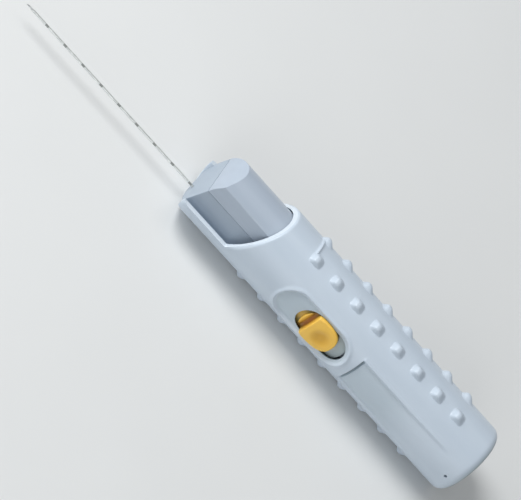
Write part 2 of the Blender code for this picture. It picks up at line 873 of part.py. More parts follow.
def build_needle(parent, steel):
    centre = (0.0, -NEEDLE_DROP)
    cannula_end = CANNULA_STATION + CARRIAGE_LENGTH + 1.5 * MM
    tube = lathe(
        "cannula",
        [
            (cannula_tip, CANNULA_BORE),
            (cannula_tip, CANNULA_RADIUS),
            (cannula_end, CANNULA_RADIUS),
            (cannula_end, CANNULA_BORE),
        ],
        parent,
        steel,
        closed=True,
        segments=16,
        centre=centre,
    )
    bevel = [
        (cannula_tip - PAST, -NEEDLE_DROP - CANNULA_RADIUS * 1.2),
        (cannula_tip - 0.05 * MM, -NEEDLE_DROP - CANNULA_RADIUS * 1.2),
        (cannula_tip + 1.7 * MM, -NEEDLE_DROP + CANNULA_RADIUS * 1.2),
        (cannula_tip - PAST, -NEEDLE_DROP + CANNULA_RADIUS * 1.2),
    ]
    cut(tube, prism("cannula_bevel", bevel, -PAST, PAST, parent, along="y"))

    tip = -NEEDLE_REACH
    stylet_end = STYLET_STATION + CARRIAGE_LENGTH + 1.5 * MM
    rod = lathe(
        "stylet",
        [(tip, STYLET_RADIUS), (stylet_end, STYLET_RADIUS)],
        parent,
        steel,
        segments=16,
        centre=centre,
    )
    point = [
        (tip - PAST, -NEEDLE_DROP - STYLET_RADIUS * 1.3),
        (tip - 0.05 * MM, -NEEDLE_DROP - STYLET_RADIUS * 1.3),
        (tip + 2.0 * MM, -NEEDLE_DROP + STYLET_RADIUS * 1.3),
        (tip - PAST, -NEEDLE_DROP + STYLET_RADIUS * 1.3),
    ]
    cut(rod, prism("stylet_point", point, -PAST, PAST, parent, along="y"))
    notch_start = tip + NOTCH_SETBACK
    notch_floor = -NEEDLE_DROP - 0.02 * MM
    notch = [
        (notch_start, notch_floor),
        (notch_start + NOTCH_LENGTH, notch_floor),
        (notch_start + NOTCH_LENGTH + 0.5 * MM, -NEEDLE_DROP + PAST),
        (notch_start - 0.5 * MM, -NEEDLE_DROP + PAST),
    ]
    cut(rod, prism("sample_notch", notch, -PAST, PAST, parent, along="y"))
    for name, radius, start in (
        ("cannula_collar", CANNULA_RADIUS, CANNULA_STATION + CARRIAGE_LENGTH + FIT),
        ("stylet_collar", STYLET_RADIUS, STYLET_STATION + CARRIAGE_LENGTH + FIT),
    ):
        lathe(
            name,
            [
                (start, radius + 0.02 * MM),
                (start, radius + 0.5 * MM),
                (start + 1.2 * MM, radius + 0.5 * MM),
                (start + 1.2 * MM, radius + 0.02 * MM),
            ],
            parent,
            steel,
            closed=True,
            segments=16,
            centre=centre,
        )


def build_springs(parent, steel):
    for name, side, start, end in (
        ("cannula_spring", -1.0, CANNULA_STATION + 5.0 * MM, cannula_seat),
        ("stylet_spring", 1.0, STYLET_STATION + 5.0 * MM, cap_front - 3.5 * MM),
    ):
        coil(
            name,
            start + FIT,
            end - FIT,
            SPRING_RADIUS,
            SPRING_WIRE,
            SPRING_TURNS,
            parent,
            steel,
            (side * SPRING_SIDE, SPRING_HEIGHT),
        )
        lathe(
            name.replace("spring", "guide_pin"),
            [
                (end - 30.0 * MM, POST_RADIUS - 0.6 * MM),
                (end - 29.4 * MM, POST_RADIUS),
                (end - FIT, POST_RADIUS),
            ],
            parent,
            steel,
            segments=16,
            centre=(side * SPRING_SIDE, SPRING_HEIGHT),
        )


def trigger_top(share):
    """Height of the button above its lowest step, by the share of its length from the front."""
    ridge = 0.28
    if share < 0.1:
        return 0.1
    if share < ridge:
        climb = (share - 0.1) / (ridge - 0.1)
        return 0.1 + 0.9 * math.sin(climb * math.pi / 2) ** 0.8
    fall = (share - ridge) / (1.0 - ridge)
    return 1.0 - 0.62 * (1.0 - (1.0 - fall) ** 1.8)


def build_trigger(parent, finish, steel):
    """The button: an oblong plan cut to a stepped, dished top, on a lipped plate."""
    front, rear = trigger_front, trigger_rear
    under = bore - SLEEVE_GAP - TRIGGER_PLATE / 2
    plan = rounded_rectangle(front, rear, trigger_width, TRIGGER_CORNER)
    button = prism("trigger_button", plan, 0.7 * bore, 1.3 * bore, parent, finish, along="z")
    low_step = BARREL_RADIUS - TRIGGER_STEP
    top = polar_block(
        "trigger_top",
        [front - PAST] + spread(front, rear, 24) + [rear + PAST],
        spread(math.radians(-36.0), math.radians(36.0), 12),
        lambda a, t: under,
        lambda a, t: low_step + TRIGGER_STEP * trigger_top(min(1.0, max(0.0, (a - front) / TRIGGER_LENGTH))),
        parent,
    )
    combine(button, top, "INTERSECT")
    lip = math.asin((trigger_width / 2 + TRIGGER_LIP) / bore)
    plate = polar_block(
        "trigger_plate",
        [front + 0.6 * MM, rear - 0.2 * MM],
        spread(-lip, lip, 10),
        lambda a, t: bore - SLEEVE_GAP - TRIGGER_PLATE,
        lambda a, t: bore - SLEEVE_GAP,
        parent,
    )
    join(button, plate)
    spring_angle = math.asin((trigger_width / 2 + TRIGGER_LIP - 1.0 * MM) / bore)
    spring_r = (core_radius + bore) / 2
    for name, sign in (("trigger_spring_upper", 1.0), ("trigger_spring_lower", -1.0)):
        coil(
            name,
            rear - 0.2 * MM + FIT,
            trigger_spring_end() - FIT,
            TRIGGER_SPRING_RADIUS,
            0.15 * MM,
            6,
            parent,
            steel,
            (sign * spring_r * math.sin(spring_angle), spring_r * math.cos(spring_angle)),
            per_turn=8,
            sides=4,
        )
    return button


def rounded_rectangle(front, rear, width, radius):
    half = width / 2 - radius
    quarter = math.pi / 2
    corners = (
        (rear - radius, half, 0.0),
        (front + radius, half, quarter),
        (front + radius, -half, 2 * quarter),
        (rear - radius, -half, 3 * quarter),
    )
    outline = []
    for station, side, start in corners:
        outline += arc((station, side), radius, start, start + quarter, 5)
    return outline


def main():
    clear_scene()
    axis = frame("instrument_axis")
    axis.location = (-centre_station, 0.0, lowest_reach())
    core_axis = frame("core_axis", axis, CUT_ANGLE)
    trigger_axis = frame("trigger_axis", axis, TRIGGER_ANGLE)

    shell = material("housing_plastic", (0.56, 0.62, 0.70), 0.42)
    inner = material("core_plastic", (0.38, 0.43, 0.50), 0.45)
    cover = material("cover_plastic", (0.42, 0.46, 0.54), 0.45)
    amber = material("trigger_plastic", (0.80, 0.42, 0.03), 0.35)
    white = material("inner_plastic", (0.75, 0.76, 0.76), 0.5)
    steel = material("needle_steel", (0.62, 0.62, 0.62), 0.3, 1.0)

    build_housing(axis, shell)
    build_sleeve(axis, white)
    build_washer(axis, steel)
    build_core(core_axis, inner, cover)
    dowels("cover_dowel", DOWEL_RADIUS, 0.0, core_axis, steel)
    build_end_cap(core_axis, white)
    build_clip(core_axis, steel)
    build_carriages(core_axis, white, steel)
    build_springs(core_axis, steel)
    build_trigger(trigger_axis, amber, steel)


main()
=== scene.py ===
import json
import math

import bmesh
import bpy
from mathutils import Matrix, Vector


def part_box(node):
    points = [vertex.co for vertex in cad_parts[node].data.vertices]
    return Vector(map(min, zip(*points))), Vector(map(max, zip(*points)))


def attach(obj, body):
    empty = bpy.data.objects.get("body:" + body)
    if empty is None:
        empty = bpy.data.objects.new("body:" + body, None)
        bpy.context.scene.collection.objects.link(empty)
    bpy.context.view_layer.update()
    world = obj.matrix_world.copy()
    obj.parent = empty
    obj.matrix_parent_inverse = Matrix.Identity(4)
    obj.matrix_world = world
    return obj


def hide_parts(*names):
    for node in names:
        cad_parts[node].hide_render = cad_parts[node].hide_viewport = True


# Looks of a core biopsy instrument: a ribbed pale housing, a grey core in its open front,
# a marked needle and an amber trigger. Lengths in the dictionaries are millimetres, angles are
# degrees round the axis from straight up towards +Y, and stations count from the front edge.

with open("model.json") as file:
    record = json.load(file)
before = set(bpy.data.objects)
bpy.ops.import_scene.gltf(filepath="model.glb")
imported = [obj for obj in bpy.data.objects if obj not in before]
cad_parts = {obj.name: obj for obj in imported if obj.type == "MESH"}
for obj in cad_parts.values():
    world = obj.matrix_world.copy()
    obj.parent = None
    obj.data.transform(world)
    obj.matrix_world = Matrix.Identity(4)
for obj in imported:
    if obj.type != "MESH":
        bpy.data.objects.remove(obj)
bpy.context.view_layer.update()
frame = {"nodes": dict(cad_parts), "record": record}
mm = 0.001

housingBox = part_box("outer_housing")
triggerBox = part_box("trigger_button")
frontX = housingBox[0].x
axisZ = frame["record"]["mounts"][0]["pos_m"][2]
print("frame loaded, axis at", round(axisZ / mm, 2), "mm")


def stationOf(x):
    return round((x - frontX) / mm, 2)


def at(station, angle, radius):
    turn = math.radians(angle)
    side, rise = radius * mm * math.sin(turn), radius * mm * math.cos(turn)
    return Vector((frontX + station * mm, side, axisZ + rise))


def smooth(low, high, value):
    # A soft step from 0 at low to 1 at high, which may be the smaller of the two.
    share = min(1.0, max(0.0, (value - low) / (high - low)))
    return share * share * (3.0 - 2.0 * share)


def spread(low, high, steps):
    return [low + (high - low) * i / steps for i in range(steps + 1)]


def newObject(name, bm, finish, sharpAngle=40.0):
    mesh = bpy.data.meshes.new(name)
    bm.to_mesh(mesh)
    bm.free()
    mesh.materials.append(finish)
    mesh.shade_smooth()
    mesh.set_sharp_from_angle(angle=math.radians(sharpAngle))
    made = bpy.data.objects.new(name, mesh)
    bpy.context.scene.collection.objects.link(made)
    return made


# Shader expressions: a Value wraps a socket, and arithmetic on it adds Math nodes.
class Value:
    def __init__(self, graph, socket):
        self.graph = graph
        self.socket = socket

    def math(self, operation, first, second=0.0):
        return self.graph.add("ShaderNodeMath", {"operation": operation}, {0: first, 1: second})

    def __add__(self, other):
        return self.math("ADD", self, other)

    def __radd__(self, other):
        return self.math("ADD", other, self)

    def __sub__(self, other):
        return self.math("SUBTRACT", self, other)

    def __rsub__(self, other):
        return self.math("SUBTRACT", other, self)

    def __mul__(self, other):
        return self.math("MULTIPLY", self, other)

    def __truediv__(self, other):
        return self.math("DIVIDE", self, other)

    def fraction(self):
        return self.math("FRACT", self)

    def above(self, limit):
        return self.math("GREATER_THAN", self, limit)

    def size(self):
        return self.math("ABSOLUTE", self)

    def ramp(self, low, high):
        settings = {"interpolation_type": "SMOOTHSTEP"}
        inputs = {"Value": self, "From Min": low, "From Max": high}
        return self.graph.add("ShaderNodeMapRange", settings, inputs)


class Graph:
    def __init__(self, name, material=None):
        self.material = material or bpy.data.materials.new(name)
        self.material.use_nodes = True
        self.tree = self.material.node_tree
        self.surface = self.tree.nodes["Principled BSDF"]

    def add(self, kind, settings=None, inputs=None, output=0):
        node = self.tree.nodes.new(kind)
        for key, value in (settings or {}).items():
            setattr(node, key, value)
        for key, value in (inputs or {}).items():
            self.feed(node.inputs[key], value)
        return Value(self, node.outputs[output])

    def feed(self, socket, value):
        if isinstance(value, Value):
            self.tree.links.new(value.socket, socket)
        else:
            socket.default_value = value

    def position(self, axis=None):
        place = self.add("ShaderNodeTexCoord", output="Object")
        if axis is None:
            return place
        return self.add("ShaderNodeSeparateXYZ", None, {0: place}, output=axis)

    def noise(self, featureMm, detail=2.0, stretch=(1.0, 1.0, 1.0)):
        place = self.add("ShaderNodeMapping", None, {"Vector": self.position(), "Scale": stretch})
        settings = {"Vector": place, "Scale": 1.0 / (featureMm * mm), "Detail": detail}
        return self.add("ShaderNodeTexNoise", None, settings)

    def mixed(self, share, first, second):
        # A Mix node has its colours at sockets 6 and 7 and their result at output 2.
        inputs = {0: share, 6: first, 7: second}
        return self.add("ShaderNodeMix", {"data_type": "RGBA"}, inputs, output=2)

    def vector(self, operation, first, second=(0.0, 0.0, 0.0)):
        output = "Value" if operation in ("LENGTH", "DOT_PRODUCT") else "Vector"
        return self.add("ShaderNodeVectorMath", {"operation": operation}, {0: first, 1: second}, output)

    def bump(self, height, strength, distanceMm):
        inputs = {"Height": height, "Strength": strength, "Distance": distanceMm * mm}
        return self.add("ShaderNodeBump", None, inputs)

    def finish(self, **inputs):
        names = {
            "colour": "Base Color",
            "roughness": "Roughness",
            "metallic": "Metallic",
            "normal": "Normal",
            "coat": "Coat Weight",
        }
        for key, value in inputs.items():
            self.feed(self.surface.inputs[names[key]], value)
        return self.material


def rgb(red, green, blue):
    def linear(channel):
        share = channel / 255.0
        return share / 12.92 if share <= 0.04045 else ((share + 0.055) / 1.055) ** 2.4

    return (linear(red), linear(green), linear(blue), 1.0)


def mouldedPlastic(name, light, dark, roughness):
    # A moulded satin plastic: slow drift of tone, spark-eroded grain and faint flow along the axis.
    g = Graph(name)
    drift = g.noise(26.0, 3.0, (0.5, 1.0, 1.0))
    flow = g.noise(5.0, 2.0, (0.12, 1.0, 1.0))
    grain = g.noise(0.22, 2.0)
    tone = (drift * 0.65 + flow * 0.35).ramp(0.3, 0.7)
    height = grain * 0.8 + flow * 0.4
    return g.finish(
        colour=g.mixed(tone, dark, light),
        roughness=roughness - 0.05 + grain * 0.1,
        normal=g.bump(height, 0.35, 0.006),
    )


def housingPlastic(name, light, dark, recess, deepShade):
    # The housing's plastic, with painted shade darkening it down in the recesses and grooves behind its
    # open front.
    g = Graph(name, mouldedPlastic(name, light, dark, 0.4))
    offset = g.vector("SUBTRACT", g.vector("MULTIPLY", g.position(), (0.0, 1.0, 1.0)), (0.0, 0.0, axisZ))
    radius = g.vector("LENGTH", offset)
    plain = Value(g, g.surface.inputs["Base Color"].links[0].from_socket)
    start, full = (frontX + station * mm for station in shade["stations"])
    behind = g.position("X").ramp(start, full)
    # Painted shade: one mask for the recesses, a darker one for the bore and deepest grooves.
    recessed = 1.0 - radius.ramp(shade["recess"][0] * mm, shade["recess"][1] * mm)
    sunk = 1.0 - radius.ramp(shade["deepShade"][0] * mm, shade["deepShade"][1] * mm)
    shaded = g.mixed(recessed * behind * shade["recessShare"], plain, recess)
    return g.finish(colour=g.mixed(sunk * behind * shade["deepShare"], shaded, deepShade))


def needleSteel(name):
    # Ground tube with a darkened band each centimetre from the tip.
    g = Graph(name)
    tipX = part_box("stylet")[0].x
    fromTip = g.position("X") - (tipX + needle["markShift"] * mm)
    cycle = (fromTip / (needle["markPitch"] * mm)).fraction() - 0.5
    band = 1.0 - (0.5 - cycle.size()).ramp(needle["markHalf"] * 0.8, needle["markHalf"])
    body = fromTip.above(needle["firstMark"] * mm)
    mark = band * body
    scratch = g.noise(0.35, 3.0, (0.15, 1.0, 1.0))
    steel = g.mixed(scratch.ramp(0.35, 0.65), rgb(196, 200, 199), rgb(224, 228, 226))
    return g.finish(
        colour=g.mixed(mark, steel, rgb(146, 150, 148)),
        metallic=0.8 - mark * 0.3,
        roughness=0.28 + scratch * 0.1 + mark * 0.2,
        normal=g.bump(scratch, 0.2, 0.004),
    )


def brightSteel(name):
    g = Graph(name)
    drawn = g.noise(0.3, 3.0, (0.1, 1.0, 1.0))
    return g.finish(
        colour=g.mixed(drawn.ramp(0.3, 0.7), rgb(170, 173, 175), rgb(208, 210, 210)),
        metallic=1.0,
        roughness=0.24 + drawn * 0.14,
        normal=g.bump(drawn, 0.2, 0.004),
    )


def amberPlastic(name):
    # Amber, deeper in the thumb pad; brown in the pit in front of it, partly painted shade and partly
    # deeper amber; dull olive on the sunk plate as painted shade.
    g = Graph(name)
    padStation = trigger["front"] + trigger["padShare"] * trigger["length"]
    centre = at(padStation, trigger["angle"], housing["frontRadius"])
    distance = g.vector("LENGTH", g.vector("SUBTRACT", g.position(), tuple(centre)))
    hollow = 1.0 - distance.ramp(*(run * mm for run in trigger["hollowRun"]))
    along = (g.position("X") - (frontX + trigger["front"] * mm)) / (trigger["length"] * mm)
    # The pit's brown is partly painted shade, partly deeper amber.
    pitShadeAndTint = along.ramp(*trigger["lipShares"]) * (1.0 - along.ramp(*trigger["crestShares"]))
    turn = math.radians(trigger["angle"])
    offAxis = g.vector("SUBTRACT", g.position(), (0.0, 0.0, axisZ))
    side = g.vector("DOT_PRODUCT", offAxis, (0.0, math.cos(turn), -math.sin(turn)))
    rise = g.vector("DOT_PRODUCT", offAxis, (0.0, math.sin(turn), math.cos(turn)))
    middle = 0.95 - side.size().ramp(*(run * mm for run in trigger["middleRun"])) * 0.6
    # Painted shade: the plate sunk under the slot's edges turns dull olive.
    sunk = (1.0 - rise.ramp(*(run * mm for run in trigger["plateShadeRun"]))) * 0.9
    speckle = g.noise(0.3, 2.0)
    skin = g.mixed(hollow, rgb(246, 198, 84), rgb(224, 172, 56))
    return g.finish(
        colour=g.mixed(pitShadeAndTint * middle, g.mixed(sunk, skin, rgb(100, 92, 50)), rgb(150, 86, 0)),
        roughness=0.3 + speckle * 0.08,
        normal=g.bump(speckle, 0.25, 0.004),
        coat=0.06,
    )


housing = {
    "length": stationOf(housingBox[1].x),
    "frontRadius": 16.3,  # a little stouter than the solid, as in the photo
    "rearRadius": 16.1,
    "bore": 14.2,
    "rearWall": 2.4,
    "rearFillet": 3.5,
    "noseLength": 3.5,
    "noseEdge": 0.55,
    "cutAngle": 11.0,
    "rim": 25.9,
    "slope": 0.505,
    "hoodDepth": 5.3,
    "chinSetback": 2.6,
    "chinHeight": 10.3,
    "join": 41.0,
    "edge": 0.4,
    "lipRun": 1.2,
    "lipDrop": 0.6,
    "lipFade": (0.033964, 0.333964),
    "bossRadius": 5.1,
    "bossLength": 3.4,
    "bossBore": 3.06,
    "rearRing": 9.6,
    "centreRing": 0.9,
}

cutTurn = math.radians(housing["cutAngle"])
cutUp = Vector((0.0, math.sin(cutTurn), math.cos(cutTurn)))
cutAcross = Vector((0.0, math.cos(cutTurn), -math.sin(cutTurn)))  # away from the trigger's side

# Where painted shade darkens the housing's plastic: stations, then radii of the recesses and grooves.
shade = {
    "stations": (40.0, 44.0),
    "recess": (15.1, 15.8),
    "recessShare": 0.45,
    "deepShade": (14.5, 14.8),
    "deepShare": 0.85,
}

panel = {
    "front": 89.8,
    "margin": 10.4,
    "low": -112.0,
    "high": -54.5,
    "depth": 0.85,
    "groove": 0.8,
    "bead": 0.4,
}

ridge = {"station": 48.0, "width": 0.62, "height": 0.65, "low": -16.0, "high": 43.0}

dish = {
    "front": 49.6,
    "rear": 85.5,
    "width": 16.6,
    "depth": 1.1,
    "hollow": 0.35,
    "bead": 0.36,
    "beadWidth": 0.8,
    "past": 0.3,
}

# The slot, and the part of the housing's grid round it that rings of faces replace.
slot = {
    "front": 60.2,
    "length": 24.0,
    "width": 14.1,
    "gridFront": 46.6,
    "gridRear": 88.0,
    "gridTurn": 40.0,
}

trigger = {
    "angle": -81.0,
    "front": stationOf(triggerBox[0].x) + 0.9,
    "length": round((triggerBox[1].x - triggerBox[0].x) / mm, 2) - 1.2,
    "width": 13.5,
    "lip": 1.2,
    "plateLow": 12.75,
    "plateHigh": 13.9,
    "step": 2.0,
    "crown": 0.5,
    "lipRise": 0.62,
    "lipShares": (0.02, 0.17),
    "pitLevel": -0.25,
    "crestShares": (0.2, 0.25),
    "rearFall": 0.3,
    "middleShare": 0.42,
    "frontPower": 2.12,
    "rearPower": 2.75,
    "padShare": 0.65,
    "padRadius": 4.6,
    "padDepth": 0.8,
    "edge": 0.45,
    "foot": 12.6,
    "plateAhead": 2.0,
    "plateSetback": 3.4,
    "tail": 4.6,
    "tailGap": 0.1,
    "tailBow": 1.6,
    "tailHalfTurn": 32.0,
    "tailDrop": 0.4,
    "tailEdge": 0.2,
    "hollowRun": (1.6, 5.4),
    "plateShadeRun": (13.4, 14.3),
    "middleRun": (2.0, 6.2),
}

# Each row has its angle, and 1 or -1 for the side on which its bumps are steep.
grip = {
    "rows": ((-8.2, -1.0), (35.0, 1.0), (152.0, -1.0), (-152.0, 1.0)),
    "first": 49.9,
    "pitch": 11.6,
    "count": 8,
    "length": 7.4,
    "frontRun": 2.9,
    "rearRun": 3.9,
    "span": 22.5,
    "rise": 2.1,
    "sunk": 0.28,
    "skirt": 0.4,
}

# The core as its solid has it, then as the render shows it.
core = {
    "face": 2.2,
    "lean": 0.46,
    "front": 0.3,
    "wall": 2.4,
    "radius": 13.7,
    "coverSide": 11.0,
    "bodySide": 10.6,
    "split": 2.5,
    "needleDrop": 9.3,
    "shoulder": 34.9,
    "seenFront": 0.9,
    "seenFace": 2.7,
    "seenLean": 0.23,
    "bend": 3.0,
    "curve": 0.026,
    "coverFlat": 10.1,
    "bodyFlat": 9.85,
    "edge": 0.75,
    "bevelAngle": 22.0,
    "sharpAngle": 25.0,
    "frontEnd": 34.0,
    "insideRadius": 9.7,
    "holeReach": 1.5,
    "seamReach": 0.3,
    "merge": 0.002,
}

# The half width of a mark is a share of the pitch.
needle = {
    "markShift": 1.0,
    "markPitch": 10.0,
    "markHalf": 0.09,
    "firstMark": 5.0,
    "facets": 32,
    "bore": 0.33,
    "tipRun": 1.6,
    "honedRun": 0.05,
    "honedShare": 0.93,
}

hole = {"setback": 5.8, "turn": 1.5, "radius": 0.65, "depth": 6.0}


def barrelRadius(station):
    slim = (housing["rearRadius"] - housing["frontRadius"]) * station / housing["length"]
    return housing["frontRadius"] + slim


def noseRadius(station):
    # The front edge is rounded in from the outside.
    if station >= housing["noseLength"]:
        return barrelRadius(station)
    share = 1.0 - max(0.0, station) / housing["noseLength"]
    rise = barrelRadius(0.0) - housing["bore"] - housing["noseEdge"]
    return housing["bore"] + housing["noseEdge"] + rise * math.sqrt(1.0 - share * share)


def arcAcross(angle):
    return math.radians(angle - trigger["angle"]) * housing["frontRadius"]


def oblongDistance(station, across, front, length, width):
    # Distance inside the outline of an oblong, negative outside it.
    half = length / 2 - width / 2
    middle = front + length / 2
    beyond = max(0.0, abs(station - middle) - half)
    return width / 2 - math.hypot(beyond, across)


def panelRelief(station, angle):
    # The label recess: a crisp front wall, a floor that fades to the rear, a bead along its top.
    rear = housing["length"] - panel["margin"]
    fade = min(1.0, 1.6 * (rear - station) / (rear - panel["front"]))
    wall = smooth(panel["front"] - 0.05, panel["front"] + 0.2, station)
    sides = smooth(panel["low"] - 1.2, panel["low"] + 1.5, angle)
    sides *= 1.0 - smooth(panel["high"] - 1.5, panel["high"] + 1.0, angle)
    groove = panel["groove"] * (1.0 - smooth(panel["front"] + 0.7, panel["front"] + 1.3, station))
    off = (angle - panel["high"] - 2.6) / 2.2
    start = smooth(panel["front"] - 0.5, panel["front"] + 0.3, station)
    bead = panel["bead"] * math.exp(-off * off) * start * smooth(rear, rear - 12.0, station)
    return bead - (panel["depth"] * max(0.0, fade) + groove) * wall * sides


def surfaceRadius(station, angle):
    radius = noseRadius(station)
    length = dish["rear"] - dish["front"]
    inside = oblongDistance(station, arcAcross(angle), dish["front"], length, dish["width"])
    if inside > -4.0:
        off = (inside + 0.5) / dish["beadWidth"]
        radius += dish["bead"] * math.exp(-off * off)
        radius -= dish["depth"] * smooth(-0.4, 1.1, inside)
        radius -= dish["hollow"] * smooth(1.0, 8.0, inside + smooth(58.0, 61.0, station))
    if panel["front"] - 1 < station < housing["length"] - panel["margin"]:
        if panel["low"] - 3 < angle < panel["high"] + 9:
            radius += panelRelief(station, angle)
    near = (station - ridge["station"]) / ridge["width"]
    if abs(near) < 3.0:
        ends = smooth(ridge["low"] - 2.0, ridge["low"] + 1.0, angle)
        ends *= 1.0 - smooth(ridge["high"] - 1.0, ridge["high"] + 2.0, angle)
        radius += ridge["height"] * math.exp(-near * near) * ends
    return radius


def rimStation(radius, turn):
    return housing["rim"] + housing["slope"] * radius * math.cos(turn)


def chinStation(turn):
    depth = housing["chinHeight"] - housing["frontRadius"] * (1.0 + math.cos(turn))
    share = max(0.0, min(1.0, depth / housing["chinHeight"]))
    return housing["chinSetback"] * share * share


def bevelEdges(bm, edges, widthMm, segments):
    return bmesh.ops.bevel(
        bm,
        geom=edges,
        offset=widthMm * mm,
        segments=segments,
        profile=0.5,
        clamp_overlap=True,
        affect="EDGES",
    )


class Sheet:
    # Points that each have a place on the outer skin and one on the inner, and the faces between.
    def __init__(self):
        self.outer = []
        self.inner = []
        self.faces = []

    def point(self, outer, inner):
        self.outer.append(outer)
        self.inner.append(inner)
        return len(self.outer) - 1

    def solid(self, name, finish, rimHighlightFinish):
        bm = bmesh.new()
        skin = [bm.verts.new(place) for place in self.outer]
        lining = [bm.verts.new(place) for place in self.inner]
        used = {}
        for face in self.faces:
            bm.faces.new([skin[i] for i in face])
            bm.faces.new([lining[i] for i in reversed(face)])
            for i, first in enumerate(face):
                second = face[(i + 1) % len(face)]
                used[(first, second)] = used.get((first, second), 0) + 1
        # The cut edges in front of the join, walls and bevels, take the second finish, a painted
        # highlight.
        for first, second in used:
            if (second, first) not in used:
                wall = bm.faces.new((skin[second], skin[first], lining[first], lining[second]))
                wall.material_index = 1 if stationOf(skin[first].co.x) < housing["join"] else 0
        bmesh.ops.recalc_face_normals(bm, faces=bm.faces)
        edges = [e for e in bm.edges if len(e.link_faces) == 2 and e.calc_face_angle() > math.radians(50)]
        for face in bevelEdges(bm, edges, housing["edge"], 3)["faces"]:
            if stationOf(face.calc_center_median().x) < housing["join"]:
                face.material_index = 1
        piece = newObject(name, bm, finish)
        piece.data.materials.append(rimHighlightFinish)
        return piece


def signedTurn(turn):
    return (turn + math.pi) % math.tau - math.pi


def columnTurns():
    # Turns from the cut's centre, from the middle of the hood round to it again.
    outerHalf = math.acos(-housing["hoodDepth"] / housing["frontRadius"])
    innerHalf = math.acos(-housing["hoodDepth"] / housing["bore"])
    columns = []
    for share in spread(0.0, 1.0, 35)[:-1]:
        outerTurn = share * (math.pi - outerHalf) - math.pi
        columns.append((outerTurn, share * (math.pi - innerHalf) - math.pi, True))
    for share in spread(-1.0, 1.0, 112):
        columns.append((share * outerHalf, share * innerHalf, abs(share) == 1.0))
    for share in spread(0.0, 1.0, 35)[1:-1]:
        outerTurn = outerHalf + share * (math.pi - outerHalf)
        columns.append((outerTurn, innerHalf + share * (math.pi - innerHalf), True))
    return columns


def stationLines():
    # Stations of the housing's rings behind the join, closest where the relief is sharp.
    lines = [housing["join"]]
    wall = panel["front"]
    rear = housing["length"] - housing["rearFillet"]
    steps = (
        (45.8, 0.6),
        (49.2, 0.2),
        (88.8, 0.7),
        (wall - 0.2, 0.4),
        (wall + 1.5, 0.1),
        (139.6, 1.2),
        (rear, 0.85),
    )
    for end, step in steps:
        start = lines[-1]
        count = max(1, round((end - start) / step))
        lines += spread(start, end, count)[1:]
    return lines


